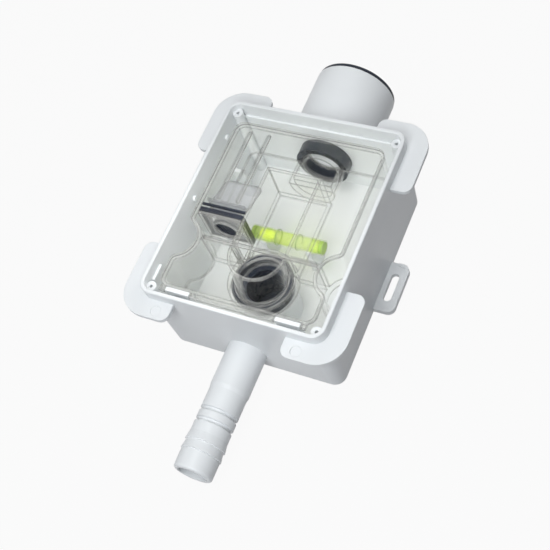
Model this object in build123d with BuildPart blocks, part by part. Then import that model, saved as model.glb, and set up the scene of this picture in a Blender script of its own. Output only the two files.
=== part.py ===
from build123d import *
from math import cos, radians, sin, tan
import os

# Dry waterless trap for condensate, set in a wall box.
# The box lies on its back: +Z points out of its mouth, +Y towards the outlet,
# and the origin is the middle of the back face. Millimetres throughout.

# Working allowances: how far a cut runs past a face, and how near a selector looks
cut_past = 1.0
near = 0.1

# Box
box_width = 92.0
box_length = 109.5
box_depth = 51.5
box_draft = 1.0
box_wall = 2.0
box_floor = 2.0
box_corner = 6.5
rim_round = 0.6

# Corner tabs
tab_reach_x = 9.5
tab_reach_y = 9.05
tab_thickness = 2.0
tab_setback = 6.1
tab_corner = 14.0
tab_end_corner = 4.2
tab_arm_x = 18.0
tab_arm_y = 27.75

# Fixing ears on the long sides
ear_reach = 9.1
ear_width = 26.4
ear_thickness = 2.5
ear_corner = 3.75
ear_slot_length = 15.0
ear_slot_width = 4.0
ear_slot_inset = 3.5
ear_rim_start = 3.0
ear_rim_width = 1.5
ear_rim_height = 0.5

# Screw bosses for a front cover
boss_radius = 2.6
boss_inset_x = 4.7
boss_inset_y = 4.95
boss_setback = 3.5
screw_hole_radius = 0.8
screw_hole_depth = 14.0

# Outlet socket
outlet_radius = 20.6
outlet_share = 0.1942
outlet_length = 36.7
pipe_radius = 16.0
pipe_clearance = 0.4
outlet_shoulder = 5.5
outlet_throat_radius = 9.0
lip_seat_wall = 2.2
lip_seat_depth = 5.0
lip_flange = 2.2
lip_overhang = 0.3
lip_round = 0.7

# Hose barb
inlet_height = 13.2
inlet_bore_radius = 7.0
neck_radius = 9.5
neck_length = 20.7
barb_radius = 9.1
barb_step = 1.9
barb_length = 39.8
barb_tip_radius = 9.3
barb_tip_length = 9.0
barb_groove_positions = (12.6, 17.9)
barb_groove_depth = 1.25
barb_groove_width = 1.9
barb_tooth_positions = (23.6, 28.2)
barb_tooth_length = 3.9
barb_tooth_height = 0.65
barb_tip_round = 1.4
barb_tip_slope = 0.6
barb_tooth_root = 0.5
duct_wall = 2.5

# Level vial
vial_radius = 3.9
vial_length = 37.5
vial_x = -1.5
vial_y = 3.3
vial_height = 19.5
vial_wall = 0.7
vial_plug_length = 2.0
vial_mark_gap = 11.0
vial_mark_width = 0.7
vial_mark_height = 0.15
bubble_radius = 2.2
bubble_length = 8.5
bubble_shift = -11.2
bubble_gap = 0.1
bubble_drop = 0.3
bubble_end_round = 1.98
saddle_spacing = 24.0
saddle_thickness = 3.0
saddle_width = 9.0

# Cartridge
cartridge_side_gap = 7.2
cartridge_outlet_gap = 9.75
cartridge_inlet_gap = 6.85
cartridge_corner = 5.0
cartridge_wall = 1.8
cartridge_floor = 1.6
cartridge_bottom = 24.0
cartridge_setback = 2.3
lid_thickness = 1.8
inner_wall = 1.5
scoop_offset = 2.2
scoop_end_gap = 25.4
scoop_radius = 10.0
scoop_blend = 3.5
channel_half_width = 14.1
channel_end_gap = 20.9
well_end_gap = 27.2
well_foot_end_gap = 21.9
well_foot_radius = 12.3
well_foot_rise = 6.0
cross_wall_end_gap = 28.9
window_low = 4.0
window_high = 3.4
window_corner = 1.5
rib_depth = 1.2
rib_width = 1.5
rib_clearance = 0.1
rib_spacing = 10.1
rib_start_gap = 10.0
rib_end_gap = 4.0
rib_end_clearance = 0.6
lid_edge_round = 0.35
lid_flange = 2.7
lid_flange_inset = 2.3

# Locating keys in the notches of the lid
key_spacing = 55.0
key_width = 12.0
key_thickness = 2.0
key_clearance = 0.35
key_height = 11.0
key_drop = 0.4

# Inlet seal, the rubber cup that the cartridge plugs into
plug_length = 4.2
plug_clearance = 0.3
plug_end_gap = 0.6
cup_wall = 2.1
cup_gap = 0.3
liner_radius = 10.9
liner_wall = 2.0
riser_wall = 2.0

# Outlet seal between cartridge and box
spout_radius = 10.2
spout_length = 5.9
pocket_length = 13.5
pocket_wall = 1.8
pocket_sink = 0.2
outlet_seal_wall = 3.2
outlet_seal_gap = 0.25
outlet_pad_drop = 8.0
outlet_pad_rise = 0.65

# One-way valve
valve_end_gap = 39.9
valve_plate = 1.6
valve_fit = 0.1
port_radius = 5.8
gasket_thickness = 2.4
gasket_bar = 2.6
seat_ring_height = 1.0
seat_ring_width = 1.4
pad_thickness = 1.4
pad_overlap = 1.0
flap_thickness = 1.4
flap_side_gap = 0.85
flap_step = 2.0
flap_corner = 2.5
flap_shoulder_gap = 1.2
flap_margin = 0.4
pin_radius = 0.9
pin_clearance = 0.05
pin_drop = 4.5
pin_setback = 0.4
port_drop = 1.0
knuckle_radius = 1.7
lug_width = 1.8
lug_play = 0.5
magnet_radius = 1.4
magnet_thickness = 0.9
magnet_margin = 0.3
strip_width = 1.0
strip_depth = 1.2
guard_thickness = 1.0
guard_length = 18.0
guard_slope = 17.0
guard_margin = 1.6
guard_corner = 3.0
guard_gap = 0.5
guard_hook = 2.0

# Small wall details of the box
nub_radius = 1.4
nub_reach = 1.4
nub_drops = (8.1, 7.0)
nub_end_gap = 16.95
nub_middle = 0.6
clip_rib_length = 8.7
clip_rib_end_gap = 13.45
clip_rib_drop = 6.5
clip_rib_height = 1.3
clip_rib_corner = 0.6
clip_rib_reach = 1.4
rest_rib_thickness = 2.0
rest_rib_overlap = 2.3
rest_rib_end_gap = 22.75
rest_rib_middle = 2.0
rest_rib_x = 20.0
ejector_mark_radius = 2.5
ejector_mark_depth = 0.2
ejector_mark_inset = 4.0
ejector_mark_end_gap = 7.0

# Derived places
inner_width = box_width - 2 * box_wall
inner_length = box_length - 2 * box_wall
half_width = box_width / 2
half_length = box_length / 2
outlet_height = outlet_radius + (box_depth - 2 * outlet_radius) * outlet_share
tab_top = box_depth - tab_setback
tab_half_x = half_width + tab_reach_x
tab_half_y = half_length + tab_reach_y
ear_half = half_width + ear_reach
slot_x = ear_half - ear_slot_inset - ear_slot_width / 2
boss_x = half_width - boss_inset_x
boss_y = half_length - boss_inset_y
boss_top = box_depth - boss_setback
outlet_end = half_length + outlet_length
socket_radius = pipe_radius + pipe_clearance
pad_face = inner_length / 2 - (box_depth - outlet_height) * tan(radians(box_draft)) - outlet_pad_rise
barb_root = -half_length - neck_length
barb_end = barb_root - barb_length - barb_step
lid_top = box_depth - cartridge_setback
lid_bottom = lid_top - lid_thickness
tray_floor_top = cartridge_bottom + cartridge_floor
cartridge_half_width = half_width - cartridge_side_gap
cartridge_top_end = half_length - cartridge_outlet_gap
cartridge_bottom_end = cartridge_inlet_gap - half_length
cartridge_middle = (cartridge_top_end + cartridge_bottom_end) / 2
cartridge_length = cartridge_top_end - cartridge_bottom_end
scoop_y = cartridge_bottom_end + scoop_end_gap
well_y = cartridge_bottom_end + well_end_gap
well_foot_y = cartridge_bottom_end + well_foot_end_gap
cross_wall_y = cartridge_bottom_end + cross_wall_end_gap
scoop_reach = cartridge_half_width + scoop_offset
channel_end = cartridge_top_end - channel_end_gap
cup_bore = well_foot_radius + plug_clearance
cup_radius = cup_bore + cup_wall
well_foot = cartridge_bottom + well_foot_rise
cup_rim = well_foot - cup_gap
cup_floor = well_foot - plug_length - plug_end_gap
riser_radius = liner_radius + riser_wall
recess_radius = cup_radius + cup_gap
chamber_left = -cartridge_half_width + cartridge_wall
chamber_right = -channel_half_width
chamber_x = (chamber_left + chamber_right) / 2
chamber_width = chamber_right - chamber_left
chamber_height = lid_bottom - tray_floor_top
port_height = (lid_bottom + tray_floor_top) / 2 - port_drop
magnet_height = port_height - port_radius - magnet_margin - magnet_radius
valve_y = cartridge_bottom_end + valve_end_gap
valve_face = valve_y + valve_plate
seat_face = valve_face + seat_ring_height
flap_face = seat_face + pad_thickness
flap_back = flap_face + flap_thickness
pin_y = flap_back + pin_setback
pin_height = lid_bottom - pin_drop
opening_width = chamber_width - 2 * gasket_bar
flap_width = opening_width - 2 * flap_side_gap
flap_neck_width = flap_width - 2 * flap_step
nub_spots = ((half_length - nub_end_gap, nub_drops[0]), (nub_middle, nub_drops[1]))
clip_rib_y = clip_rib_end_gap - half_length


def along_y(x, y, z):
    """Plane at a point, facing +Y, with its own Y along the object's Z."""
    return Plane(origin=(x, y, z), x_dir=(-1, 0, 0), z_dir=(0, 1, 0))


def along_x(x, y, z):
    """Plane at a point, facing +X, with its own X along the object's Y."""
    return Plane(origin=(x, y, z), x_dir=(0, 1, 0), z_dir=(1, 0, 0))


def facing_back(height):
    """Plane at a height, facing -Z, for walls that draw in towards the back."""
    return Plane(origin=(0, 0, height), x_dir=(1, 0, 0), z_dir=(0, 0, -1))


def cartridge_outline(inset):
    """Rounded rectangle with a finger hollow in each long side."""
    reach = scoop_radius + inset
    with BuildSketch() as outline:
        with Locations((0, cartridge_middle)):
            RectangleRounded(
                2 * (cartridge_half_width - inset),
                cartridge_length - 2 * inset,
                cartridge_corner - inset,
            )
        with Locations((scoop_reach, scoop_y), (-scoop_reach, scoop_y)):
            Circle(reach, mode=Mode.SUBTRACT)
        lips = outline.vertices().filter_by(
            lambda v: abs(v.Y - scoop_y) < reach and abs(v.X) > cartridge_half_width - inset - near
        )
        fillet(lips, radius=scoop_blend - inset)
    return outline.sketch


# White one-piece box with tabs, ears, bosses, outlet socket and hose barb
with BuildPart() as housing:
    with BuildSketch(facing_back(box_depth)):
        RectangleRounded(box_width, box_length, box_corner)
    extrude(amount=box_depth, taper=box_draft)

    with BuildSketch(Plane.XY.offset(tab_top - tab_thickness)) as tabs:
        Rectangle(2 * tab_half_x, 2 * tab_half_y)
        fillet(tabs.vertices(), radius=tab_corner)
        Rectangle(2 * (half_width - tab_arm_x), 2 * tab_half_y, mode=Mode.SUBTRACT)
        Rectangle(2 * tab_half_x, 2 * (half_length - tab_arm_y), mode=Mode.SUBTRACT)
        arm_ends = tabs.vertices().filter_by(
            lambda v: (abs(v.Y) > tab_half_y - near and abs(v.X) < half_width - tab_arm_x + near)
            or (abs(v.X) > tab_half_x - near and abs(v.Y) < half_length - tab_arm_y + near)
        )
        fillet(arm_ends, radius=tab_end_corner)
    extrude(amount=tab_thickness)

    with BuildSketch(Plane.XY) as ears:
        RectangleRounded(2 * ear_half, ear_width, ear_corner)
        with Locations((slot_x, 0), (-slot_x, 0)):
            SlotOverall(ear_slot_length, ear_slot_width, rotation=90, mode=Mode.SUBTRACT)
    extrude(amount=ear_thickness)
    with BuildSketch(Plane.XY.offset(ear_thickness)):
        RectangleRounded(2 * ear_half, ear_width, ear_corner)
        RectangleRounded(
            2 * (ear_half - ear_rim_width),
            ear_width - 2 * ear_rim_width,
            ear_corner - ear_rim_width,
            mode=Mode.SUBTRACT,
        )
        Rectangle(2 * (half_width + ear_rim_start), ear_width, mode=Mode.SUBTRACT)
    extrude(amount=ear_rim_height)

    with BuildSketch(along_y(0, inner_length / 2, outlet_height)):
        Circle(outlet_radius)
    extrude(amount=outlet_end - inner_length / 2)

    # Barb: a stepped neck, two grooves, two teeth and a plain tip
    with BuildSketch(Plane.XY.offset(inlet_height)) as barb:
        with BuildLine():
            Polyline(
                (0, -inner_length / 2),
                (neck_radius, -inner_length / 2),
                (neck_radius, barb_root),
                (barb_radius, barb_root - barb_step),
                (barb_radius, barb_end + barb_tip_length + barb_tip_slope),
                (barb_tip_radius, barb_end + barb_tip_length),
                (barb_tip_radius, barb_end),
                (0, barb_end),
                close=True,
            )
        make_face()
        tip_corner = barb.vertices().group_by(Axis.Y)[0].sort_by(Axis.X)[-1]
        fillet(tip_corner, radius=barb_tip_round)
        for position in barb_tooth_positions:
            start = barb_root - position
            with BuildLine():
                Polyline(
                    (barb_radius - barb_tooth_root, start),
                    (barb_radius, start),
                    (barb_radius + barb_tooth_height, start - barb_tooth_length),
                    (barb_radius - barb_tooth_root, start - barb_tooth_length - barb_tooth_root),
                    close=True,
                )
            make_face()
        for position in barb_groove_positions:
            with Locations((barb_radius, barb_root - position)):
                SlotOverall(2 * barb_groove_depth, barb_groove_width, mode=Mode.SUBTRACT)
    revolve(axis=Axis((0, 0, inlet_height), (0, 1, 0)))

    # Hollow of the box
    with BuildSketch(facing_back(box_depth)):
        RectangleRounded(inner_width, inner_length, box_corner - box_wall)
    extrude(amount=box_depth - box_floor, taper=box_draft, mode=Mode.SUBTRACT)
    rim_edges = housing.edges().group_by(Axis.Z)[-1]
    fillet(rim_edges, radius=rim_round)

    # Screw bosses, each backed by a web into its corner
    with BuildSketch(Plane.XY.offset(box_floor / 2)) as bosses:
        with GridLocations(2 * boss_x, 2 * boss_y, 2, 2):
            Circle(boss_radius)
    extrude(amount=boss_top - box_floor / 2)
    with BuildSketch(Plane.XY.offset(boss_top)):
        with GridLocations(2 * boss_x, 2 * boss_y, 2, 2):
            Circle(screw_hole_radius)
    extrude(amount=-screw_hole_depth, mode=Mode.SUBTRACT)

    # Duct from the barb to an upright riser, and the flat pad round the outlet
    with BuildSketch(along_y(0, -inner_length / 2 - box_wall / 2, inlet_height)):
        Circle(inlet_bore_radius + duct_wall)
    extrude(amount=well_foot_y + inner_length / 2 + box_wall / 2)
    with BuildSketch(Plane.XY.offset(box_floor / 2)):
        with Locations((0, well_foot_y)):
            Circle(riser_radius)
    extrude(amount=cartridge_bottom - box_floor / 2)
    with BuildSketch(Plane.XY.offset(box_floor)):
        with Locations((0, well_foot_y)):
            Circle(liner_radius)
    extrude(amount=cartridge_bottom - box_floor, mode=Mode.SUBTRACT)
    with BuildSketch(Plane.XY.offset(box_floor / 2)):
        with Locations((0, (pad_face + half_length - box_wall) / 2)):
            Rectangle(2 * boss_x, half_length - box_wall - pad_face)
    extrude(amount=box_depth - outlet_pad_drop - box_floor / 2)

    # Saddles that carry the level vial
    with BuildSketch(Plane.XY.offset(box_floor / 2)):
        with Locations((vial_x, vial_y)):
            with GridLocations(saddle_spacing, 0, 2, 1):
                Rectangle(saddle_thickness, saddle_width)
    extrude(amount=vial_height - box_floor / 2)
    with BuildSketch(along_x(vial_x - saddle_spacing, vial_y, vial_height)):
        Circle(vial_radius)
    extrude(amount=2 * saddle_spacing, mode=Mode.SUBTRACT)

    # Ribs that the cartridge stands on
    side_reach = cartridge_half_width - rest_rib_overlap
    foot_reach = -cartridge_bottom_end - rest_rib_overlap
    side_middle = (side_reach + half_width - box_wall) / 2
    foot_middle = (foot_reach + half_length - box_wall) / 2
    with BuildSketch(Plane.XY.offset(box_floor / 2)):
        for spot in (half_length - rest_rib_end_gap, rest_rib_middle):
            with Locations((side_middle, spot), (-side_middle, spot)):
                Rectangle(2 * (side_middle - side_reach), rest_rib_thickness)
        with Locations((rest_rib_x, -foot_middle), (-rest_rib_x, -foot_middle)):
            Rectangle(rest_rib_thickness, 2 * (foot_middle - foot_reach))
    extrude(amount=cartridge_bottom - box_floor / 2)
    # Keys at the lower wall that stand in the notches of the lid
    key_y = cartridge_bottom_end - key_clearance
    for side in (-1, 1):
        with BuildSketch(along_x(side * key_spacing / 2 - key_width / 2, 0, 0)):
            with BuildLine():
                Polyline(
                    (key_y, lid_top - key_drop),
                    (key_y - key_thickness, lid_top - key_drop),
                    (key_y - key_thickness, lid_top - key_height + key_thickness),
                    (-half_length + box_wall / 2, lid_top - key_height + key_thickness),
                    (-half_length + box_wall / 2, lid_top - key_height - key_thickness),
                    (key_y, lid_top - key_height),
                    close=True,
                )
            make_face()
        extrude(amount=key_width)

    # Small nubs and clip ribs inside the long walls
    for side in (-1, 1):
        for spot, drop in nub_spots:
            with BuildSketch(along_x(side * (half_width - box_wall / 2), spot, box_depth - drop)):
                Circle(nub_radius)
            extrude(amount=-side * (box_wall / 2 + nub_reach))
        with BuildSketch(along_x(side * (half_width - box_wall / 2), clip_rib_y, box_depth - clip_rib_drop)):
            RectangleRounded(clip_rib_length, clip_rib_height, clip_rib_corner)
        extrude(amount=-side * (box_wall / 2 + clip_rib_reach))

    # Shallow ejector marks near the ends of the two tabs beside the barb
    mark_x = half_width - tab_arm_x + ejector_mark_end_gap
    mark_y = tab_half_y - ejector_mark_inset
    with BuildSketch(Plane.XY.offset(tab_top)):
        with Locations((mark_x, -mark_y), (-mark_x, -mark_y)):
            Circle(ejector_mark_radius)
    extrude(amount=-ejector_mark_depth, mode=Mode.SUBTRACT)

    # Bores of the outlet and the inlet
    with BuildSketch(along_y(0, outlet_end, outlet_height)):
        Circle(outlet_radius - lip_seat_wall)
    extrude(amount=-lip_seat_depth, mode=Mode.SUBTRACT)
    with BuildSketch(along_y(0, outlet_end, outlet_height)):
        Circle(socket_radius)
    extrude(amount=half_length + outlet_shoulder - outlet_end, mode=Mode.SUBTRACT)
    with BuildSketch(along_y(0, pad_face - cut_past, outlet_height)):
        Circle(outlet_throat_radius)
    extrude(amount=half_length + outlet_shoulder - pad_face + 2 * cut_past, mode=Mode.SUBTRACT)
    with BuildSketch(along_y(0, barb_end - cut_past, inlet_height)):
        Circle(inlet_bore_radius)
    extrude(amount=well_foot_y - barb_end + cut_past, mode=Mode.SUBTRACT)

# Black lip seal in the mouth of the outlet socket
with BuildPart() as outlet_lip_seal:
    seat_radius = outlet_radius - lip_seat_wall
    with BuildSketch(Plane.XY.offset(outlet_height)) as lip:
        with BuildLine():
            Polyline(
                (socket_radius, outlet_end - lip_seat_depth),
                (seat_radius, outlet_end - lip_seat_depth),
                (seat_radius, outlet_end),
                (outlet_radius - lip_overhang, outlet_end),
                (outlet_radius - lip_overhang, outlet_end + lip_flange),
                (socket_radius, outlet_end + lip_flange),
                close=True,
            )
        make_face()
        rim_corner = lip.vertices().group_by(Axis.Y)[-1].sort_by(Axis.X)[-1]
        fillet(rim_corner, radius=lip_round)
    revolve(axis=Axis((0, 0, outlet_height), (0, 1, 0)))

# Black rubber seal: a cup for the plug of the cartridge and a liner down the riser
with BuildPart() as inlet_seal:
    with BuildSketch(Plane.XZ.offset(-well_foot_y)):
        with BuildLine():
            Polyline(
                (0, box_floor),
                (liner_radius, box_floor),
                (liner_radius, cartridge_bottom),
                (cup_radius, cartridge_bottom),
                (cup_radius, cup_rim),
                (cup_bore, cup_rim),
                (cup_bore, cup_floor),
                (liner_radius - liner_wall, cup_floor),
                (liner_radius - liner_wall, box_floor + liner_wall),
                (0, box_floor + liner_wall),
                close=True,
            )
        make_face()
    revolve(axis=Axis((0, well_foot_y, 0), (0, 0, 1)))
    with BuildSketch(along_y(0, well_foot_y, inlet_height)):
        Circle(inlet_bore_radius)
    extrude(amount=-liner_radius - cut_past, mode=Mode.SUBTRACT)

# Level vial: tube, liquid with its bubble, plugs and marks
vial_start = vial_x - vial_length / 2
liquid_radius = vial_radius - vial_wall
liquid_length = vial_length - 2 * vial_plug_length
bubble_x = vial_x + bubble_shift
bubble_height = vial_height + liquid_radius - bubble_radius - bubble_drop
with BuildPart() as vial_tube:
    with BuildSketch(along_x(vial_start, vial_y, vial_height)):
        Circle(vial_radius)
        Circle(liquid_radius, mode=Mode.SUBTRACT)
    extrude(amount=vial_length)


def bubble_shape(growth):
    """Long bubble with rounded ends, or the same grown all round."""
    with BuildPart() as bubble:
        with BuildSketch(along_x(bubble_x - bubble_length / 2 - growth, vial_y, bubble_height)):
            Circle(bubble_radius + growth)
        extrude(amount=bubble_length + 2 * growth)
        fillet(bubble.edges(), radius=bubble_end_round)
    return bubble.part


with BuildPart() as vial_bubble:
    add(bubble_shape(0))

with BuildPart() as vial_liquid:
    with BuildSketch(along_x(vial_start + vial_plug_length, vial_y, vial_height)):
        Circle(liquid_radius)
    extrude(amount=liquid_length)
    add(bubble_shape(bubble_gap), mode=Mode.SUBTRACT)

with BuildPart() as vial_plugs:
    for start in (vial_start, vial_start + vial_length - vial_plug_length):
        with BuildSketch(along_x(start, vial_y, vial_height)):
            Circle(liquid_radius)
        extrude(amount=vial_plug_length)

with BuildPart() as vial_marks:
    for side in (-1, 1):
        mark_start = vial_x + side * vial_mark_gap / 2 - vial_mark_width / 2
        with BuildSketch(along_x(mark_start, vial_y, vial_height)):
            Circle(vial_radius + vial_mark_height)
            Circle(vial_radius, mode=Mode.SUBTRACT)
        extrude(amount=vial_mark_width)

# Clear tray of the cartridge
with BuildPart() as cartridge_tray:
    with BuildSketch(Plane.XY.offset(cartridge_bottom)):
        add(cartridge_outline(0))
    extrude(amount=lid_bottom - cartridge_bottom)
    with BuildSketch(Plane.XY.offset(tray_floor_top)):
        add(cartridge_outline(cartridge_wall))
    extrude(amount=lid_bottom - tray_floor_top, mode=Mode.SUBTRACT)

    # channel with two straight sides, and cross walls to the finger hollows
    with BuildSketch(Plane.XY.offset(cartridge_bottom)):
        with Locations((0, (channel_end + well_y) / 2)):
            Rectangle(2 * channel_half_width, channel_end - well_y)
        with Locations((0, cross_wall_y)):
            Rectangle(2 * (scoop_reach - scoop_radius), inner_wall)
    extrude(amount=lid_bottom - cartridge_bottom)

    # leaning round well, and the round recess under it that clears the cup
    with BuildSketch(Plane.XY.offset(well_foot)):
        with Locations((0, well_foot_y)):
            Circle(well_foot_radius)
    with BuildSketch(Plane.XY.offset(lid_bottom)):
        with Locations((0, well_y)):
            Circle(channel_half_width)
    loft()
    with BuildSketch(Plane.XY.offset(tray_floor_top)):
        with Locations((0, (channel_end - inner_wall + well_y) / 2)):
            Rectangle(2 * (channel_half_width - inner_wall), channel_end - inner_wall - well_y)
    extrude(amount=lid_bottom - tray_floor_top, mode=Mode.SUBTRACT)
    with BuildSketch(Plane.XY.offset(cartridge_bottom)):
        with Locations((0, well_foot_y)):
            Circle(recess_radius + inner_wall)
    extrude(amount=well_foot_rise + cartridge_floor)
    with BuildSketch(Plane.XY.offset(cartridge_bottom)):
        with Locations((0, well_foot_y)):
            Circle(recess_radius)
    extrude(amount=well_foot_rise, mode=Mode.SUBTRACT)

    # plug that enters the inlet seal, then the bore of the well and the plug
    with BuildSketch(Plane.XY.offset(well_foot)):
        with Locations((0, well_foot_y)):
            Circle(well_foot_radius)
    extrude(amount=-plug_length)
    with BuildSketch(Plane.XY.offset(well_foot)):
        with Locations((0, well_foot_y)):
            Circle(well_foot_radius - inner_wall)
    with BuildSketch(Plane.XY.offset(lid_bottom)):
        with Locations((0, well_y)):
            Circle(channel_half_width - inner_wall)
    loft(mode=Mode.SUBTRACT)
    with BuildSketch(Plane.XY.offset(well_foot - plug_length)):
        with Locations((0, well_foot_y)):
            Circle(well_foot_radius - inner_wall)
    extrude(amount=plug_length, mode=Mode.SUBTRACT)

    # outlet pocket under the floor and the spout beyond it
    with BuildSketch(along_y(0, cartridge_top_end - pocket_length, outlet_height)):
        Circle(spout_radius + pocket_wall)
        with Locations((0, cartridge_bottom + pocket_sink - outlet_height + spout_radius + pocket_wall)):
            Rectangle(2 * (spout_radius + pocket_wall), 2 * (spout_radius + pocket_wall), mode=Mode.SUBTRACT)
    extrude(amount=pocket_length)
    with BuildSketch(along_y(0, cartridge_top_end - cartridge_wall, outlet_height)):
        Circle(spout_radius)
    extrude(amount=cartridge_wall + spout_length)

    # hollow of the outlet pocket and bore of the spout
    with BuildSketch(along_y(0, cartridge_top_end - pocket_length + pocket_wall, outlet_height)):
        Circle(spout_radius)
    extrude(amount=pocket_length - 2 * pocket_wall, mode=Mode.SUBTRACT)
    with BuildSketch(along_y(0, cartridge_top_end - 2 * cartridge_wall, outlet_height)):
        Circle(spout_radius - inner_wall)
    extrude(amount=2 * cartridge_wall + spout_length + cut_past, mode=Mode.SUBTRACT)

    # slot for the cross rib of the lid
    with BuildSketch(Plane.XY.offset(lid_bottom)):
        with Locations((0, cross_wall_y)):
            Rectangle(2 * (scoop_reach - scoop_radius - cartridge_wall), rib_width + 2 * rib_clearance)
    extrude(amount=-rib_depth - rib_clearance, mode=Mode.SUBTRACT)

    # window from the channel to the valve chamber
    window_start = cross_wall_y + inner_wall
    window_end = valve_y - inner_wall
    window_height = chamber_height - window_low - window_high
    with BuildSketch(along_x(-channel_half_width - cut_past, 0, 0)):
        with Locations(((window_start + window_end) / 2, (tray_floor_top + lid_bottom) / 2)):
            RectangleRounded(window_end - window_start, window_height, window_corner)
    extrude(amount=inner_wall + 2 * cut_past, mode=Mode.SUBTRACT)

# Clear lid with its lower flange, notches and stiffening ribs
with BuildPart() as cartridge_cover:
    with BuildSketch(Plane.XY.offset(lid_bottom)):
        add(cartridge_outline(0))
        flange_middle = cartridge_bottom_end - lid_flange / 2
        with Locations((0, flange_middle + cartridge_wall / 2)):
            Rectangle(2 * (cartridge_half_width - lid_flange_inset), lid_flange + cartridge_wall)
        with Locations((key_spacing / 2, flange_middle), (-key_spacing / 2, flange_middle)):
            Rectangle(key_width + 2 * key_clearance, lid_flange, mode=Mode.SUBTRACT)
    extrude(amount=lid_thickness)
    with BuildSketch(Plane.XY.offset(lid_bottom)):
        rib_start = valve_y + rib_start_gap
        rib_end = cartridge_top_end - rib_end_gap
        with Locations((chamber_x, (rib_start + rib_end) / 2)):
            with GridLocations(rib_spacing, 0, 2, 1):
                Rectangle(rib_width, rib_end - rib_start)
        with Locations((0, cross_wall_y)):
            Rectangle(2 * (scoop_reach - scoop_radius - cartridge_wall - rib_end_clearance), rib_width)
    extrude(amount=-rib_depth)
    fillet(cartridge_cover.edges().group_by(Axis.Z)[-1], radius=lid_edge_round)

# Black ring between the spout and the pad of the box
with BuildPart() as outlet_seal:
    with BuildSketch(along_y(0, cartridge_top_end, outlet_height)):
        Circle(spout_radius + outlet_seal_wall)
        Circle(spout_radius, mode=Mode.SUBTRACT)
    extrude(amount=pad_face - outlet_seal_gap - cartridge_top_end)

# One-way valve: plate with the port and two hinge lugs
lug_x = flap_neck_width / 2 + lug_play
with BuildPart() as valve_seat:
    with BuildSketch(along_y(chamber_x, valve_y, 0)):
        with Locations((0, (tray_floor_top + lid_bottom) / 2)):
            Rectangle(chamber_width - 2 * valve_fit, chamber_height - 2 * valve_fit)
        with Locations((0, port_height)):
            Circle(port_radius, mode=Mode.SUBTRACT)
    extrude(amount=valve_plate)
    for side in (-1, 1):
        near = chamber_x + side * lug_x if side > 0 else chamber_x - lug_x - lug_width
        with BuildSketch(along_x(near, 0, 0)):
            with Locations((pin_y, pin_height)):
                Circle(knuckle_radius)
            with BuildLine():
                Polyline(
                    (valve_face, pin_height - knuckle_radius),
                    (pin_y, pin_height - knuckle_radius),
                    (pin_y, pin_height + knuckle_radius),
                    (valve_face, pin_height + knuckle_radius),
                    close=True,
                )
            make_face()
            with Locations((pin_y, pin_height)):
                Circle(pin_radius, mode=Mode.SUBTRACT)
        extrude(amount=lug_width)
    with BuildSketch(along_y(chamber_x, valve_y, 0)):
        with Locations((0, magnet_height)):
            Circle(magnet_radius)
    extrude(amount=magnet_thickness, mode=Mode.SUBTRACT)

with BuildPart() as seat_magnet:
    with BuildSketch(along_y(chamber_x, valve_y, 0)):
        with Locations((0, magnet_height)):
            Circle(magnet_radius)
    extrude(amount=magnet_thickness)

with BuildPart() as valve_gasket:
    with BuildSketch(along_y(chamber_x, valve_face, 0)):
        with Locations((0, (tray_floor_top + lid_bottom) / 2)):
            Rectangle(chamber_width - 2 * valve_fit, chamber_height - 2 * valve_fit)
            Rectangle(opening_width, chamber_height - 2 * gasket_bar, mode=Mode.SUBTRACT)
    extrude(amount=gasket_thickness)

with BuildPart() as seat_ring:
    with BuildSketch(along_y(chamber_x, valve_face, port_height)):
        Circle(port_radius + seat_ring_width)
        Circle(port_radius, mode=Mode.SUBTRACT)
    extrude(amount=seat_ring_height)

# Flap with its knuckle, pad and magnet
flap_low = magnet_height - magnet_radius - flap_margin
flap_shoulder = pin_height - knuckle_radius - flap_shoulder_gap
with BuildPart() as flap_plate:
    with BuildSketch(along_y(chamber_x, flap_face, 0)) as flap:
        with Locations((0, (flap_low + flap_shoulder) / 2)):
            Rectangle(flap_width, flap_shoulder - flap_low)
        fillet(flap.vertices().group_by(Axis.Y)[0], radius=flap_corner)
        with Locations((0, (flap_shoulder + pin_height) / 2)):
            Rectangle(flap_neck_width, pin_height - flap_shoulder)
    extrude(amount=flap_thickness)
    with BuildSketch(along_x(chamber_x - flap_neck_width / 2, pin_y, pin_height)):
        Circle(knuckle_radius)
    extrude(amount=flap_neck_width)
    with BuildSketch(along_x(chamber_x - flap_neck_width / 2, pin_y, pin_height)):
        Circle(pin_radius + pin_clearance)
    extrude(amount=flap_neck_width, mode=Mode.SUBTRACT)
    with BuildSketch(along_y(chamber_x, flap_back, magnet_height)):
        Circle(magnet_radius)
    extrude(amount=-magnet_thickness, mode=Mode.SUBTRACT)

with BuildPart() as flap_magnet:
    with BuildSketch(along_y(chamber_x, flap_back, magnet_height)):
        Circle(magnet_radius)
    extrude(amount=-magnet_thickness)

with BuildPart() as flap_pad:
    with BuildSketch(along_y(chamber_x, seat_face, port_height)):
        Circle(port_radius + pad_overlap)
    extrude(amount=pad_thickness)

with BuildPart() as hinge_pin:
    with BuildSketch(along_x(chamber_x - lug_x - lug_width, pin_y, pin_height)):
        Circle(pin_radius)
    extrude(amount=2 * (lug_x + lug_width))

# Thin black strip and greyish flap guard under the lid
strip_y = pin_y + knuckle_radius
with BuildPart() as valve_strip:
    with BuildSketch(Plane.XY.offset(lid_bottom)):
        with Locations((chamber_x, pin_y)):
            Rectangle(chamber_width - 2 * valve_fit, strip_width)
    extrude(amount=-strip_depth)

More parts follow.
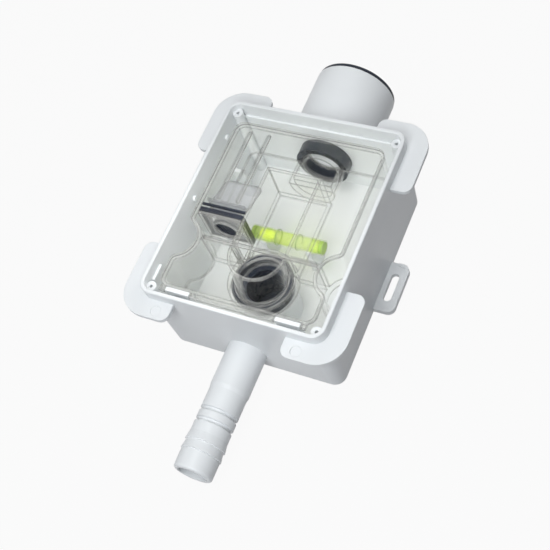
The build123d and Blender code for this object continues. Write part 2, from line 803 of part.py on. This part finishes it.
guard_width = chamber_width - 2 * guard_margin
with BuildPart() as flap_guard:
    with BuildSketch(Plane.XY.offset(lid_bottom)):
        with Locations((chamber_x, strip_y + guard_gap + guard_thickness / 2)):
            Rectangle(guard_width, guard_thickness)
    extrude(amount=-rib_depth - guard_hook - guard_thickness)
    slope = radians(guard_slope)
    guard_plane = Plane(
        origin=(chamber_x, strip_y + guard_gap, lid_bottom - rib_depth - guard_hook),
        x_dir=(1, 0, 0),
        z_dir=(0, sin(slope), cos(slope)),
    )
    with BuildSketch(guard_plane) as guard:
        with Locations((0, guard_length / 2)):
            Rectangle(guard_width, guard_length)
        fillet(guard.vertices().group_by(Axis.Y)[-1], radius=guard_corner)
    extrude(amount=-guard_thickness)

pieces = {
    "housing": housing,
    "outlet_lip_seal": outlet_lip_seal,
    "inlet_seal": inlet_seal,
    "vial_tube": vial_tube,
    "vial_liquid": vial_liquid,
    "vial_bubble": vial_bubble,
    "vial_plugs": vial_plugs,
    "vial_marks": vial_marks,
    "cartridge_tray": cartridge_tray,
    "cartridge_cover": cartridge_cover,
    "outlet_seal": outlet_seal,
    "valve_seat": valve_seat,
    "valve_gasket": valve_gasket,
    "seat_ring": seat_ring,
    "seat_magnet": seat_magnet,
    "flap_plate": flap_plate,
    "flap_pad": flap_pad,
    "flap_magnet": flap_magnet,
    "hinge_pin": hinge_pin,
    "valve_strip": valve_strip,
    "flap_guard": flap_guard,
}
os.makedirs("parts", exist_ok=True)
for name, piece in pieces.items():
    piece.part.label = name
    export_step(piece.part, f"parts/{name}.step")
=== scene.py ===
"""Dry waterless trap: clear valve cartridge in a white wall box, dressed for a studio picture."""

import bpy
from bpy.props import FloatProperty, FloatVectorProperty, PointerProperty
from mathutils import Matrix, Vector

bl_info = {
    "name": "Dry Waterless Trap",
    "version": (1, 0, 0),
    "blender": (4, 5, 0),
    "location": "3D View > Sidebar > Trap",
    "description": "Dresses the dry waterless trap and sets up its studio",
    "category": "Object",
}

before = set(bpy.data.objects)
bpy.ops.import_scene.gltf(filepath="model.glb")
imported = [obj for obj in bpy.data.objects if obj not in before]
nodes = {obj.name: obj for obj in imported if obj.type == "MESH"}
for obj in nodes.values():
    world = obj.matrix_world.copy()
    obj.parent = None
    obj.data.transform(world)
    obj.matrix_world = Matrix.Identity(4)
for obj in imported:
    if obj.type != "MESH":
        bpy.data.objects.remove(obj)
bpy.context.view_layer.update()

# colours that stay as they are, as red, green and blue
WHITE = (1.0, 1.0, 1.0)
FLAP_GREY = (0.42, 0.44, 0.47)
PIN_STEEL = (0.62, 0.63, 0.65)
MAGNET_PLATING = (0.5, 0.5, 0.52)
PLUG_GREEN = (0.45, 0.66, 0.1)
MARK_GREEN = (0.3, 0.42, 0.1)
FLOOR_GREY = (0.3, 0.3, 0.31)
SKY_COLOUR = (0.93, 0.96, 1.0)

# a clear piece has a tint that is seen through it and a veil that lies on it
CLEAR_VEIL = (0.87, 0.88, 0.86)
SMOKE_TINT = (0.85, 0.86, 0.88)
SMOKE_VEIL = (0.5, 0.51, 0.52)
VIAL_TINT = (0.97, 0.99, 0.9)
LIQUID_TINT = (0.88, 0.96, 0.5)
AIR_TINT = (1.0, 1.0, 0.6)
# painted highlight: the bubble's veil is a bright yellow that also glows
AIR_PAINTED_HIGHLIGHT = (0.9, 0.86, 0.16)
VIAL_RIM = 0.0003

# cosine of the turn from the true normal to the softened one, near the edges of clear plastic
PALE_EDGE_STARTS = 0.998
PALE_EDGE_FULL = 0.93
# painted shade: edges of clear plastic are darkened to a dark line that stands in for the dark edges
# of refraction
PAINTED_DARK_LINE_STARTS = 0.94
PAINTED_DARK_LINE_FULL = 0.86
PAINTED_DARK_LINE_SHADE = 0.16

# haze of clear plastic: it starts at this slant, where 0 is face on and 1 is edge on
HAZE_STARTS = 0.58
HAZE_MOST = 0.6
LIGHT_STOPPED = 0.04

# mirror of its polished skin
MIRROR_FACE_ON = 0.006
MIRROR_EDGE_ON = 0.75
MIRROR_POWER = 5.0
SKIN_ROUGHNESS = 0.04

SMALL_GRAIN = 0.0006
SMALL_SOFTNESS = 0.0003
INK_GRAIN = 0.0004
INK_SOFTNESS = 0.0001
EDGE_SAMPLES = 4

FLOOR_DROP = 0.0003
FLOOR_GLOW = 0.94
SKY_LOW = 0.03
SKY_HIGH = 0.32

CAMERA_PLACE = Vector((0.19387, -0.20325, 0.43942))
CAMERA_RIGHT = Vector((0.89161, 0.38248, -0.24236))
CAMERA_UP = Vector((-0.23114, 0.84470, 0.48275))
CAMERA_BACK = Vector((0.38936, -0.37441, 0.84156))
CAMERA_LENS = 69.17
CAMERA_SENSOR = 36.0
CAMERA_NEAR = 0.01
CAMERA_FAR = 20.0

# name, place, point that it looks at, width, power and colour of each lamp
LAMPS = (
    ("key_lamp", (0.0, -0.1, 1.1), (0.0, 0.0, 0.03), 0.5, 3.2, (1.0, 0.99, 0.97)),
    ("front_lamp", (0.06, -0.36, 0.45), (0.0, -0.03, 0.03), 0.3, 1.6, (0.96, 0.98, 1.0)),
    ("back_lamp", (0.0, 0.7, 0.25), (0.0, 0.08, 0.025), 0.3, 1.5, WHITE),
    ("mouth_lamp", (-0.004, -0.014, 0.07), (-0.004, -0.014, 0.0), 0.07, 0.016, (1.0, 0.985, 0.95)),
)
MIRRORED_LAMP_WIDTH = 0.2


class TrapColours(bpy.types.PropertyGroup):
    """Colours of the mouldings, the rubber and the liquid."""

    box_white: FloatVectorProperty(
        name="Box white",
        description="Colour of the white moulded box",
        subtype="COLOR",
        size=3,
        min=0.0,
        max=1.0,
        default=(0.80, 0.825, 0.84),
    )
    clear_tint: FloatVectorProperty(
        name="Clear tint",
        description="Tint of the clear cartridge",
        subtype="COLOR",
        size=3,
        min=0.0,
        max=1.0,
        default=(0.996, 0.995, 0.989),
    )
    rubber_black: FloatVectorProperty(
        name="Rubber black",
        description="Colour of the rubber seals",
        subtype="COLOR",
        size=3,
        min=0.0,
        max=1.0,
        default=(0.016, 0.021, 0.033),
    )
    liquid_green: FloatVectorProperty(
        name="Vial liquid",
        description="Colour of the liquid in the level vial",
        subtype="COLOR",
        size=3,
        min=0.0,
        max=1.0,
        default=(0.77, 0.85, 0.24),
    )


class TrapSizes(bpy.types.PropertyGroup):
    """Sizes of the surface detail and of the studio."""

    plastic_grain: FloatProperty(
        name="Plastic grain",
        description="Size of the fine grain of the white moulding",
        default=0.0007,
        min=0.0001,
        unit="LENGTH",
    )
    edge_softness: FloatProperty(
        name="Edge softness",
        description="Radius of the softened look of moulded edges",
        default=0.0004,
        min=0.0,
        unit="LENGTH",
    )
    floor_size: FloatProperty(
        name="Floor size",
        description="Width of the studio floor",
        default=6.0,
        min=0.5,
        unit="LENGTH",
    )


def new_material(name):
    """Empty node material with its output."""
    material = bpy.data.materials.new(name)
    material.use_nodes = True
    tree = material.node_tree
    tree.nodes.clear()
    output = tree.nodes.new("ShaderNodeOutputMaterial")
    return material, tree, output


def add_node(tree, kind, **inputs):
    """Node of a kind with some of its inputs set by name."""
    node = tree.nodes.new(kind)
    for name, value in inputs.items():
        node.inputs[name.replace("_", " ")].default_value = value
    return node


def object_noise(tree, scale, detail):
    """Noise from 0 to 1 that is fixed to the object."""
    place = tree.nodes.new("ShaderNodeTexCoord")
    noise = add_node(tree, "ShaderNodeTexNoise", Scale=scale, Detail=detail, Roughness=0.55)
    tree.links.new(place.outputs["Object"], noise.inputs["Vector"])
    return noise.outputs["Fac"]


def ramp(tree, source, low, high, stops=(0.3, 0.7)):
    """Colour ramp between two colours."""
    node = tree.nodes.new("ShaderNodeValToRGB")
    node.color_ramp.elements[0].position = stops[0]
    node.color_ramp.elements[1].position = stops[1]
    node.color_ramp.elements[0].color = (*low, 1.0)
    node.color_ramp.elements[1].color = (*high, 1.0)
    tree.links.new(source, node.inputs["Fac"])
    return node.outputs["Color"]


def spread(tree, source, low, high, start=0.0, end=1.0):
    """A value between start and end, spread over the range from low to high."""
    node = add_node(
        tree, "ShaderNodeMapRange", From_Min=start, From_Max=end, To_Min=low, To_Max=high
    )
    tree.links.new(source, node.inputs["Value"])
    return node.outputs["Result"]


def calculate(tree, operation, first, second):
    """Result of an operation on an output and on a second output or a number."""
    node = tree.nodes.new("ShaderNodeMath")
    node.operation = operation
    tree.links.new(first, node.inputs[0])
    if isinstance(second, float):
        node.inputs[1].default_value = second
    else:
        tree.links.new(second, node.inputs[1])
    return node.outputs[0]


def mix_shaders(tree, share, first, second):
    """The first shader where the share is 0 and the second where it is 1."""
    node = tree.nodes.new("ShaderNodeMixShader")
    tree.links.new(share, node.inputs["Fac"])
    tree.links.new(first, node.inputs[1])
    tree.links.new(second, node.inputs[2])
    return node.outputs["Shader"]


def shade(colour, factor):
    """A colour made lighter or darker."""
    return tuple(min(1.0, c * factor) for c in colour)


def softened_normal(tree, radius):
    """Normal that makes the edges look rounded."""
    node = add_node(tree, "ShaderNodeBevel", Radius=radius)
    node.samples = EDGE_SAMPLES
    return node.outputs["Normal"]


def add_grain(tree, shader, scale, depth, softness):
    """Gives a shader a fine grain on softened edges."""
    bump = add_node(tree, "ShaderNodeBump", Strength=0.08, Distance=depth)
    tree.links.new(object_noise(tree, scale, 2.0), bump.inputs["Height"])
    tree.links.new(softened_normal(tree, softness), bump.inputs["Normal"])
    tree.links.new(bump.outputs["Normal"], shader.inputs["Normal"])


def moulded_plastic(name, colour, roughness, grain, softness):
    """Opaque moulded plastic with a faint grain, uneven gloss and soft edges."""
    material, tree, output = new_material(name)
    shader = add_node(
        tree, "ShaderNodeBsdfPrincipled", IOR=1.46, Coat_Weight=0.12, Coat_Roughness=0.25
    )
    cloud = object_noise(tree, 18.0, 4.0)
    colours = ramp(tree, cloud, shade(colour, 0.96), shade(colour, 1.04))
    tree.links.new(colours, shader.inputs["Base Color"])
    gloss = object_noise(tree, 60.0, 2.0)
    uneven = spread(tree, gloss, roughness - 0.06, roughness + 0.06)
    tree.links.new(uneven, shader.inputs["Roughness"])
    add_grain(tree, shader, 1.0 / grain, grain * 0.1, softness)
    tree.links.new(shader.outputs["BSDF"], output.inputs["Surface"])
    return material


def seal_rubber(name, colour, roughness=0.26):
    """Dark rubber with a soft, uneven shine."""
    material, tree, output = new_material(name)
    shader = add_node(tree, "ShaderNodeBsdfPrincipled", IOR=1.45, Specular_IOR_Level=0.3)
    cloud = object_noise(tree, 90.0, 4.0)
    colours = ramp(tree, cloud, shade(colour, 0.85), shade(colour, 1.3))
    tree.links.new(colours, shader.inputs["Base Color"])
    gloss = object_noise(tree, 160.0, 3.0)
    uneven = spread(tree, gloss, roughness - 0.1, roughness + 0.14)
    tree.links.new(uneven, shader.inputs["Roughness"])
    add_grain(tree, shader, 1800.0, 0.00006, 0.0003)
    tree.links.new(shader.outputs["BSDF"], output.inputs["Surface"])
    return material


def bright_metal(name, colour):
    """Ground or plated metal."""
    material, tree, output = new_material(name)
    shader = add_node(tree, "ShaderNodeBsdfPrincipled", Metallic=1.0)
    cloud = object_noise(tree, 400.0, 3.0)
    colours = ramp(tree, cloud, shade(colour, 0.85), shade(colour, 1.1))
    tree.links.new(colours, shader.inputs["Base Color"])
    tree.links.new(spread(tree, cloud, 0.22, 0.4), shader.inputs["Roughness"])
    tree.links.new(shader.outputs["BSDF"], output.inputs["Surface"])
    return material


def edge_turn(tree, soft_normal):
    """Cosine of the turn from the true normal to the softened one, which is 1 away from edges."""
    true_normal = tree.nodes.new("ShaderNodeNewGeometry")
    turn = tree.nodes.new("ShaderNodeVectorMath")
    turn.operation = "DOT_PRODUCT"
    tree.links.new(true_normal.outputs["Normal"], turn.inputs[0])
    tree.links.new(soft_normal, turn.inputs[1])
    return turn.outputs["Value"]


def hazy_plastic(tree, soft_normal, painted_dark_line, veil, glow):
    """The part of clear plastic that is seen itself: a pale haze with a painted glow, which turns to
    painted shade on the dark line.
    """
    cloud = object_noise(tree, 70.0, 3.0)
    pale = ramp(tree, cloud, shade(veil, 0.92), shade(veil, 1.08), (0.4, 0.6))
    colour = tree.nodes.new("ShaderNodeMix")
    colour.data_type = "RGBA"
    tree.links.new(painted_dark_line, colour.inputs["Factor"])
    tree.links.new(pale, colour.inputs["A"])
    # painted shade: the veil turns dark on the edge line
    colour.inputs["B"].default_value = (*shade(veil, PAINTED_DARK_LINE_SHADE), 1.0)
    shader = add_node(
        tree,
        "ShaderNodeBsdfPrincipled",
        IOR=1.49,
        Coat_Weight=0.8,
        Coat_Roughness=0.04,
        Emission_Color=(*veil, 1.0),
    )
    tree.links.new(colour.outputs["Result"], shader.inputs["Base Color"])
    tree.links.new(spread(tree, cloud, 0.08, 0.2), shader.inputs["Roughness"])
    tree.links.new(soft_normal, shader.inputs["Normal"])
    # painted light: the haze glows in its veil colour with the strength of glow, and not on the dark
    # line
    tree.links.new(spread(tree, painted_dark_line, glow, 0.0), shader.inputs["Emission Strength"])
    return shader.outputs["BSDF"]


def clear_moulding(name, tint, body=0.0, edge=0.68, rim=0.0018, veil=CLEAR_VEIL, glow=0.2):
    """Clear plastic: see-through, hazy where it is seen along, with pale edges round a dark line;
    the haze has a painted glow and the line is painted shade.
    """
    material, tree, output = new_material(name)
    soft_normal = softened_normal(tree, rim)
    turn = edge_turn(tree, soft_normal)
    # painted shade along the edges of clear plastic
    painted_dark_line = spread(tree, turn, 0.0, 1.0, PAINTED_DARK_LINE_STARTS, PAINTED_DARK_LINE_FULL)
    haze = hazy_plastic(tree, soft_normal, painted_dark_line, veil, glow)

    facing = add_node(tree, "ShaderNodeLayerWeight", Blend=0.5)
    tree.links.new(soft_normal, facing.inputs["Normal"])
    slant = facing.outputs["Facing"]
    along = spread(tree, slant, body, HAZE_MOST, HAZE_STARTS, 1.0)
    at_edge = spread(tree, turn, 0.0, 1.0, PALE_EDGE_STARTS, PALE_EDGE_FULL)
    share = calculate(tree, "MAXIMUM", along, spread(tree, at_edge, 0.0, edge))

    # light passes to what lies behind almost as if the plastic were not there
    ray = tree.nodes.new("ShaderNodeLightPath")
    lighting = calculate(
        tree, "MAXIMUM", ray.outputs["Is Shadow Ray"], ray.outputs["Is Diffuse Ray"]
    )
    seen = spread(tree, lighting, 1.0, LIGHT_STOPPED)
    haze_share = calculate(tree, "MULTIPLY", share, seen)

    # a polished skin mirrors the studio, most of all where it is seen along
    rising = calculate(tree, "POWER", slant, MIRROR_POWER)
    mirrored = spread(tree, rising, MIRROR_FACE_ON, MIRROR_EDGE_ON)
    skin_share = calculate(tree, "MULTIPLY", mirrored, seen)
    skin = add_node(tree, "ShaderNodeBsdfGlossy", Color=(*WHITE, 1.0), Roughness=SKIN_ROUGHNESS)
    tree.links.new(soft_normal, skin.inputs["Normal"])
    clear = add_node(tree, "ShaderNodeBsdfTransparent", Color=(*tint, 1.0))
    coated = mix_shaders(tree, skin_share, clear.outputs["BSDF"], skin.outputs["BSDF"])
    tree.links.new(mix_shaders(tree, haze_share, coated, haze), output.inputs["Surface"])
    return material


def looked_at(tree):
    """One where a surface is looked at, straight or in a reflection, and 0 where it gives light."""
    path = tree.nodes.new("ShaderNodeLightPath")
    seen = path.outputs["Is Camera Ray"]
    for kind in ("Is Glossy Ray", "Is Transmission Ray"):
        seen = calculate(tree, "MAXIMUM", seen, path.outputs[kind])
    return seen


def dress(names, material):
    """Gives CAD nodes a finish."""
    for name in names:
        piece = nodes[name]
        if not piece.material_slots:
            piece.data.materials.append(material)
        for place in piece.material_slots:
            place.link = "OBJECT"
            place.material = material


def lay_floor(scene):
    """Floor that looks white and keeps a faint shadow."""
    half = scene.trap_sizes.floor_size / 2
    mesh = bpy.data.meshes.new("floor")
    corners = [(-half, -half, 0), (half, -half, 0), (half, half, 0), (-half, half, 0)]
    mesh.from_pydata(corners, [], [(0, 1, 2, 3)])
    floor = bpy.data.objects.new("floor", mesh)
    floor.location.z = -FLOOR_DROP
    scene.collection.objects.link(floor)
    material, tree, output = new_material("floor_white")
    matt = add_node(tree, "ShaderNodeBsdfDiffuse", Color=(*FLOOR_GREY, 1.0))
    glow = add_node(tree, "ShaderNodeEmission", Color=(*WHITE, 1.0), Strength=1.0)
    share = calculate(tree, "MULTIPLY", looked_at(tree), FLOOR_GLOW)
    mixed = mix_shaders(tree, share, matt.outputs["BSDF"], glow.outputs["Emission"])
    tree.links.new(mixed, output.inputs["Surface"])
    mesh.materials.append(material)


def set_world(scene):
    """World that looks white and lights from above more than from the side."""
    world = bpy.data.worlds.new("studio")
    scene.world = world
    world.use_nodes = True
    tree = world.node_tree
    tree.nodes.clear()
    output = tree.nodes.new("ShaderNodeOutputWorld")
    light = add_node(tree, "ShaderNodeBackground", Color=(*SKY_COLOUR, 1.0))
    place = tree.nodes.new("ShaderNodeTexCoord")
    height = tree.nodes.new("ShaderNodeSeparateXYZ")
    tree.links.new(place.outputs["Generated"], height.inputs["Vector"])
    sky = spread(tree, height.outputs["Z"], SKY_LOW, SKY_HIGH)
    tree.links.new(sky, light.inputs["Strength"])
    white = add_node(tree, "ShaderNodeBackground", Color=(*WHITE, 1.0), Strength=1.0)
    mixed = mix_shaders(
        tree, looked_at(tree), light.outputs["Background"], white.outputs["Background"]
    )
    tree.links.new(mixed, output.inputs["Surface"])


def hang_lamp(scene, name, place, aim, width, power, colour):
    """Square soft lamp that looks at a point, and stays out of the reflections if it is small."""
    data = bpy.data.lights.new(name, "AREA")
    data.shape = "SQUARE"
    data.size = width
    data.energy = power
    data.color = colour
    lamp = bpy.data.objects.new(name, data)
    lamp.location = place
    lamp.rotation_mode = "QUATERNION"
    lamp.rotation_quaternion = (Vector(aim) - Vector(place)).to_track_quat("-Z", "Y")
    lamp.visible_glossy = width > MIRRORED_LAMP_WIDTH
    scene.collection.objects.link(lamp)


def place_camera(scene):
    """Camera that stands where the photograph was taken from."""
    data = bpy.data.cameras.new("camera")
    data.lens = CAMERA_LENS
    data.sensor_width = CAMERA_SENSOR
    data.sensor_height = CAMERA_SENSOR
    data.sensor_fit = "HORIZONTAL"
    data.clip_start = CAMERA_NEAR
    data.clip_end = CAMERA_FAR
    camera = bpy.data.objects.new("camera", data)
    turn = Matrix((CAMERA_RIGHT, CAMERA_UP, CAMERA_BACK)).transposed()
    camera.matrix_world = Matrix.Translation(CAMERA_PLACE) @ turn.to_4x4()
    scene.collection.objects.link(camera)
    scene.camera = camera


class TRAP_OT_box(bpy.types.Operator):
    """White moulded box"""

    bl_idname = "trap.box"
    bl_label = "White box"

    def execute(self, context):
        white = tuple(context.scene.trap_colours.box_white)
        sizes = context.scene.trap_sizes
        plastic = moulded_plastic(
            "white_plastic", white, 0.4, sizes.plastic_grain, sizes.edge_softness
        )
        dress(["housing"], plastic)
        return {"FINISHED"}


class TRAP_OT_seals(bpy.types.Operator):
    """Black rubber seals"""

    bl_idname = "trap.seals"
    bl_label = "Rubber seals"

    def execute(self, context):
        black = tuple(context.scene.trap_colours.rubber_black)
        dress(["outlet_lip_seal", "inlet_seal", "outlet_seal"], seal_rubber("seal_rubber", black))
        valve_rubber = seal_rubber("valve_rubber", black, 0.4)
        dress(["valve_gasket", "seat_ring", "flap_pad", "valve_strip"], valve_rubber)
        return {"FINISHED"}


class TRAP_OT_cartridge(bpy.types.Operator):
    """Clear cartridge"""

    bl_idname = "trap.cartridge"
    bl_label = "Clear cartridge"

    def execute(self, context):
        tint = tuple(context.scene.trap_colours.clear_tint)
        dress(["cartridge_tray", "cartridge_cover"], clear_moulding("clear_plastic", tint))
        plate = clear_moulding("valve_plate_plastic", shade(tint, 0.98), body=0.12, edge=0.8)
        dress(["valve_seat"], plate)
        return {"FINISHED"}


class TRAP_OT_valve(bpy.types.Operator):
    """Flap, guard, pin and magnets of the one-way valve"""

    bl_idname = "trap.valve"
    bl_label = "One-way valve"

    def execute(self, context):
        smoke = clear_moulding("smoky_plastic", SMOKE_TINT, body=0.35, edge=0.6, veil=SMOKE_VEIL)
        dress(["flap_guard"], smoke)
        grey = moulded_plastic("flap_plastic", FLAP_GREY, 0.35, SMALL_GRAIN, SMALL_SOFTNESS)
        dress(["flap_plate"], grey)
        dress(["hinge_pin"], bright_metal("pin_steel", PIN_STEEL))
        dress(["seat_magnet", "flap_magnet"], bright_metal("magnet_plating", MAGNET_PLATING))
        return {"FINISHED"}


class TRAP_OT_vial(bpy.types.Operator):
    """Level vial"""

    bl_idname = "trap.vial"
    bl_label = "Level vial"

    def execute(self, context):
        green = tuple(context.scene.trap_colours.liquid_green)
        tube = clear_moulding("vial_plastic", VIAL_TINT, body=0.03, edge=0.4, rim=VIAL_RIM)
        dress(["vial_tube"], tube)
        liquid = clear_moulding(
            "vial_liquid", LIQUID_TINT, body=0.32, edge=0.6, rim=VIAL_RIM, veil=green
        )
        dress(["vial_liquid"], liquid)
        # painted highlight: the bubble is a bright yellow blob that glows more than the other clear
        # parts
        air = clear_moulding(
            "vial_air", AIR_TINT, body=0.7, edge=0.7, rim=VIAL_RIM, veil=AIR_PAINTED_HIGHLIGHT, glow=0.3
        )
        dress(["vial_bubble"], air)
        plugs = moulded_plastic("vial_plug_plastic", PLUG_GREEN, 0.4, SMALL_GRAIN, SMALL_SOFTNESS)
        dress(["vial_plugs"], plugs)
        ink = moulded_plastic("mark_ink", MARK_GREEN, 0.5, INK_GRAIN, INK_SOFTNESS)
        dress(["vial_marks"], ink)
        return {"FINISHED"}


class TRAP_OT_stage(bpy.types.Operator):
    """Floor, world, lamps and camera"""

    bl_idname = "trap.stage"
    bl_label = "Studio"

    def execute(self, context):
        scene = context.scene
        lay_floor(scene)
        set_world(scene)
        for lamp in LAMPS:
            hang_lamp(scene, *lamp)
        place_camera(scene)
        scene.view_settings.view_transform = "Standard"
        scene.cycles.transparent_max_bounces = 64
        scene.cycles.max_bounces = 16
        return {"FINISHED"}


class TRAP_PT_panel(bpy.types.Panel):
    """Sidebar panel of the trap"""

    bl_idname = "TRAP_PT_panel"
    bl_label = "Dry waterless trap"
    bl_space_type = "VIEW_3D"
    bl_region_type = "UI"
    bl_category = "Trap"

    def draw(self, context):
        layout = self.layout
        for group in (context.scene.trap_colours, context.scene.trap_sizes):
            for name in group.__annotations__:
                layout.prop(group, name)
        for step in STEPS:
            layout.operator(step.bl_idname)


STEPS = (
    TRAP_OT_box,
    TRAP_OT_seals,
    TRAP_OT_cartridge,
    TRAP_OT_valve,
    TRAP_OT_vial,
    TRAP_OT_stage,
)
CLASSES = (TrapColours, TrapSizes, *STEPS, TRAP_PT_panel)


def register():
    for item in CLASSES:
        bpy.utils.register_class(item)
    bpy.types.Scene.trap_colours = PointerProperty(type=TrapColours)
    bpy.types.Scene.trap_sizes = PointerProperty(type=TrapSizes)


def unregister():
    del bpy.types.Scene.trap_sizes
    del bpy.types.Scene.trap_colours
    for item in reversed(CLASSES):
        bpy.utils.unregister_class(item)


def main():
    register()
    for step in STEPS:
        group, name = step.bl_idname.split(".")
        getattr(getattr(bpy.ops, group), name)()


if __name__ == "__main__":
    main()
